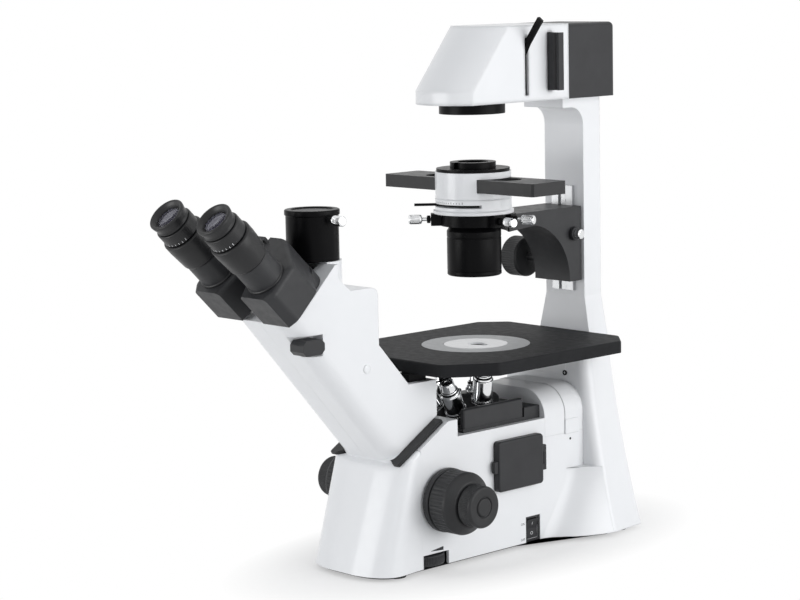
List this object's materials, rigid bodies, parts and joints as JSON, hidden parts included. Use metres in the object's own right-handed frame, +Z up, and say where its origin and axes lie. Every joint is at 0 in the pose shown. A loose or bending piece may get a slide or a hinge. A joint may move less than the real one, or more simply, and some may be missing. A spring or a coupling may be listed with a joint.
{
  "type": "inverted microscope",
  "caption": "Inverted microscope: binocular head on a slanted arm, fixed stage over a rotating nosepiece, condenser and lamp house on a rear pillar.",
  "frame": {"origin": "on the table, under the middle of the overall box", "axes": "+X to the user's right, +Y away from the user, +Z up; the optical axis stands at Y = 98 mm"},
  "size_m": [0.2146, 0.5289, 0.5188],
  "materials": {
    "white_paint": "satin white enamel",
    "black_plastic": "satin black moulding",
    "dark_grey_plastic": "dark grey moulding with fine grain",
    "black_metal": "black anodised metal",
    "stage_black": "matt black crackle coat",
    "chrome": "polished",
    "steel": "ground steel",
    "insert_grey": "satin",
    "insert_white": "smooth",
    "rubber": "matt",
    "glass": "clear",
    "mirror": "front coated",
    "ceramic": "lamp holder",
    "knob_rubber": "ribbed grip"
  },
  "bodies": {
    "stand": {"base_casting": "white_paint", "base_plate": "black_metal", "feet": "rubber", "column": "white_paint", "arch_cover": "white_paint", "seat_plate": "black_plastic", "head_shell_left": "white_paint", "head_shell_right": "white_paint", "photo_tube": "black_metal", "binocular_block": "dark_grey_plastic", "stage_plate": "stage_black", "stage_posts": "black_metal", "condenser_rails": "steel", "lamp_house": "white_paint", "lamp_rear_cap": "black_plastic", "lamp_bulb": "glass", "lamp_socket": "ceramic", "lamp_mirror": "mirror", "collector_ring": "black_metal", "collector_lens": "glass", "fold_mirror": "mirror", "cover_hinge": "black_plastic", "power_inlet": "black_plastic"},
    "light_path": {"light_path_knob": "black_plastic"},
    "photo_clamp": {"photo_screw": "chrome"},
    "eye_right": {"prism_housing_right": "dark_grey_plastic", "eyepiece_right": "black_metal"},
    "eye_left": {"prism_housing_left": "dark_grey_plastic", "eyepiece_left": "black_metal"},
    "diopter_right": {"diopter_ring_right": "knob_rubber"},
    "diopter_left": {"diopter_ring_left": "knob_rubber"},
    "stage_ring": {"insert_ring": "insert_grey"},
    "stage_disc": {"insert_disc": "insert_white"},
    "coarse_drive": {"coarse_knob_left": "knob_rubber", "coarse_knob_right": "knob_rubber"},
    "fine_drive": {"fine_knob_left": "knob_rubber", "fine_knob_right": "knob_rubber"},
    "tension": {"tension_ring": "black_plastic"},
    "lock": {"lock_ring": "black_plastic"},
    "focus_carriage": {"nosepiece_carriage": "black_metal"},
    "nosepiece": {"nosepiece_turret": "black_metal", "objectives": "chrome"},
    "condenser": {"condenser_carrier": "black_metal", "condenser_mount": "black_metal", "condenser_drum": "white_paint", "drum_cap": "black_metal", "lens_tube": "black_metal", "condenser_lens": "glass"},
    "condenser_drive": {"carrier_wheel": "black_plastic"},
    "condenser_clamp": {"carrier_clamp_screw": "black_plastic"},
    "iris": {"iris_lever": "black_metal"},
    "phase": {"phase_slider": "black_plastic"},
    "centring_left": {"centring_screw_left": "chrome"},
    "centring_front": {"centring_screw_front": "chrome"},
    "centring_right": {"centring_screw_right": "chrome"},
    "lamp_filter": {"swing_filter": "black_metal"},
    "drawer": {"filter_drawer": "black_plastic"},
    "side_door": {"side_cover": "black_plastic"},
    "rocker": {"rocker_switch": "black_plastic"},
    "dimmer": {"dimmer_wheel": "black_plastic"}
  },
  "joints": [
    {"name": "light_path_pull", "type": "slide", "parent": "stand", "child": "light_path", "axis": [1, 0, 0], "range_m": [0, 0.012]},
    {"name": "photo_screw_turn", "type": "hinge", "parent": "stand", "child": "photo_clamp", "pos_m": [0.03, -0.112, 0.342], "axis": [1, 0, 0], "continuous": true},
    {"name": "eye_right_swing", "type": "hinge", "parent": "stand", "child": "eye_right", "pos_m": [0, -0.1387, 0.282], "axis": [0, -0.7071, 0.7071], "range_deg": [-13.5, 11]},
    {"name": "eye_left_swing", "type": "hinge", "parent": "stand", "child": "eye_left", "pos_m": [0, -0.1387, 0.282], "axis": [0, -0.7071, 0.7071], "range_deg": [-11, 13.5]},
    {"name": "diopter_right_turn", "type": "hinge", "parent": "eye_right", "child": "diopter_right", "pos_m": [0.033, -0.15963, 0.26107], "axis": [0, -0.7071, 0.7071], "range_deg": [-120, 120]},
    {"name": "diopter_left_turn", "type": "hinge", "parent": "eye_left", "child": "diopter_left", "pos_m": [-0.033, -0.15963, 0.26107], "axis": [0, -0.7071, 0.7071], "range_deg": [-120, 120]},
    {"name": "stage_ring_lift", "type": "slide", "parent": "stand", "child": "stage_ring", "axis": [0, 0, 1], "range_m": [0, 0.03]},
    {"name": "stage_disc_lift", "type": "slide", "parent": "stage_ring", "child": "stage_disc", "axis": [0, 0, 1], "range_m": [0, 0.02]},
    {"name": "coarse_turn", "type": "hinge", "parent": "stand", "child": "coarse_drive", "pos_m": [0, -0.001, 0.068], "axis": [1, 0, 0], "range_deg": [-160.01, 160.01]},
    {"name": "fine_turn", "type": "hinge", "parent": "stand", "child": "fine_drive", "pos_m": [0, -0.001, 0.068], "axis": [1, 0, 0], "continuous": true},
    {"name": "tension_turn", "type": "hinge", "parent": "stand", "child": "tension", "pos_m": [0, -0.001, 0.068], "axis": [1, 0, 0], "range_deg": [-60, 60]},
    {"name": "lock_turn", "type": "hinge", "parent": "stand", "child": "lock", "pos_m": [0, -0.001, 0.068], "axis": [1, 0, 0], "range_deg": [-60, 60]},
    {"name": "focus_slide", "type": "slide", "parent": "stand", "child": "focus_carriage", "axis": [0, 0, 1], "range_m": [-0.0035, 0.0035]},
    {"name": "nosepiece_turn", "type": "hinge", "parent": "focus_carriage", "child": "nosepiece", "pos_m": [0, 0.077, 0.137], "axis": [0, -0.2924, 0.9563], "continuous": true},
    {"name": "condenser_slide", "type": "slide", "parent": "stand", "child": "condenser", "axis": [0, 0, 1], "range_m": [-0.01, 0.018]},
    {"name": "condenser_wheel_turn", "type": "hinge", "parent": "condenser", "child": "condenser_drive", "pos_m": [-0.03, 0.215, 0.272], "axis": [1, 0, 0], "range_deg": [-71.65, 128.95]},
    {"name": "condenser_clamp_turn", "type": "hinge", "parent": "condenser", "child": "condenser_clamp", "pos_m": [0.025, 0.216, 0.3], "axis": [1, 0, 0], "continuous": true},
    {"name": "iris_turn", "type": "hinge", "parent": "condenser", "child": "iris", "pos_m": [0, 0.098, 0.3385], "axis": [0, 0, 1], "range_deg": [0, 94]},
    {"name": "phase_slide", "type": "slide", "parent": "condenser", "child": "phase", "axis": [1, 0, 0], "range_m": [-0.045, 0.045]},
    {"name": "rocker_press", "type": "hinge", "parent": "stand", "child": "rocker", "pos_m": [0.0485, 0.1215, 0.0175], "axis": [0, -1, 0], "range_deg": [0, 12]},
    {"name": "dimmer_turn", "type": "hinge", "parent": "stand", "child": "dimmer", "pos_m": [0.0335, -0.0125, 0.01], "axis": [0, 0, 1], "range_deg": [0, 270]},
    {"name": "side_cover_swing", "type": "hinge", "parent": "stand", "child": "side_door", "pos_m": [0.0557, 0.134, 0.088], "axis": [0, 0, 1], "range_deg": [0, 105]},
    {"name": "filter_swing", "type": "hinge", "parent": "stand", "child": "lamp_filter", "pos_m": [0.012, 0.135, 0.447], "axis": [0, 1, 0], "range_deg": [0, 55]},
    {"name": "drawer_pull", "type": "slide", "parent": "stand", "child": "drawer", "axis": [1, 0, 0], "range_m": [0, 0.06]},
    {"name": "centring_left_turn", "type": "hinge", "parent": "condenser", "child": "centring_left", "pos_m": [0, 0.098, 0.324], "axis": [-0.682, -0.7314, 0], "continuous": true},
    {"name": "centring_front_turn", "type": "hinge", "parent": "condenser", "child": "centring_front", "pos_m": [0, 0.098, 0.324], "axis": [0.9903, -0.1392, 0], "continuous": true},
    {"name": "centring_right_turn", "type": "hinge", "parent": "condenser", "child": "centring_right", "pos_m": [0, 0.098, 0.324], "axis": [0.9272, 0.3746, 0], "continuous": true}
  ],
  "couplings": [
    {"joint": "eye_left_swing", "follows": "eye_right_swing", "ratio": -1},
    {"joint": "coarse_turn", "follows": "focus_slide", "rad_per_m": 797.86},
    {"joint": "condenser_wheel_turn", "follows": "condenser_slide", "rad_per_m": 125}
  ]
}
